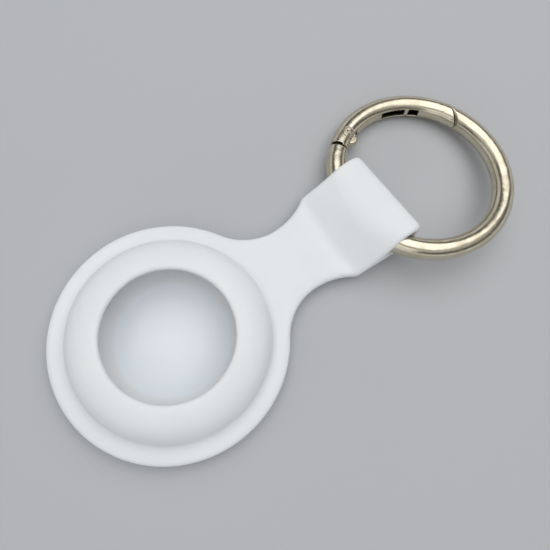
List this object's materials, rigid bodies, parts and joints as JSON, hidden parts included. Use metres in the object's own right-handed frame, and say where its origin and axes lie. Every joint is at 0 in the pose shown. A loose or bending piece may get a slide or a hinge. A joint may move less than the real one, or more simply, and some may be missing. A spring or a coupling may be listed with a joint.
{
  "type": "tracker tag holder",
  "caption": "Soft moulded key holder: a round pocket with a window for a disc-shaped tracker tag, a flexible strap and a spring-gate carrier ring.",
  "frame": {"origin": "middle of the flat rest face under the round pocket", "axes": "+X along the strap from the pocket to the ring, +Z out of the pocket's window, +Y towards the side of the ring that carries the gate's hinge"},
  "size_m": [0.0961, 0.041, 0.0105],
  "materials": {
    "silicone": "matt moulded, white",
    "plated_ring": "pale nickel plating on cast zinc, polished",
    "steel_pin": "plain, peened ends",
    "spring_steel": "bright drawn wire"
  },
  "bodies": {
    "holder": {"tag_pocket": "silicone", "neck_web": "silicone"},
    "strap": {"strap_loop": "silicone"},
    "ring": {"ring_arc": "plated_ring"},
    "gate": {"gate_arc": "plated_ring", "hinge_rivet": "steel_pin", "gate_spring": "spring_steel"},
    "plunger": {"spring_plunger": "steel_pin"}
  },
  "joints": [
    {"name": "neck_bend", "type": "hinge", "parent": "holder", "child": "strap", "pos_m": [0.0274, 0, 0.00255], "axis": [0, -1, 0], "range_deg": [-40, 70], "stiffness_Nm_per_rad": 0.00275, "deforming": ["neck_web"]},
    {"name": "ring_swing", "type": "hinge", "parent": "strap", "child": "ring", "pos_m": [0.04128, 0.00077, 0.0053], "axis": [0, -0.989, 0.1478], "range_deg": [-60, 110], "deforming": ["strap_loop"]},
    {"name": "gate_open", "type": "hinge", "parent": "ring", "child": "gate", "pos_m": [0.04978, 0.01493, 0.00279], "axis": [-0.0436, -0.1477, -0.9881], "range_deg": [0, 45], "stiffness_Nm_per_rad": 0.006, "springref_deg": -57.3},
    {"name": "plunger_slide", "type": "slide", "parent": "gate", "child": "plunger", "axis": [0.9596, 0.2691, -0.0826], "range_m": [0, 0.0005], "deforming": ["gate_spring"]}
  ],
  "couplings": [
    {"joint": "plunger_slide", "follows": "gate_open", "m_per_rad": 0.00055}
  ]
}
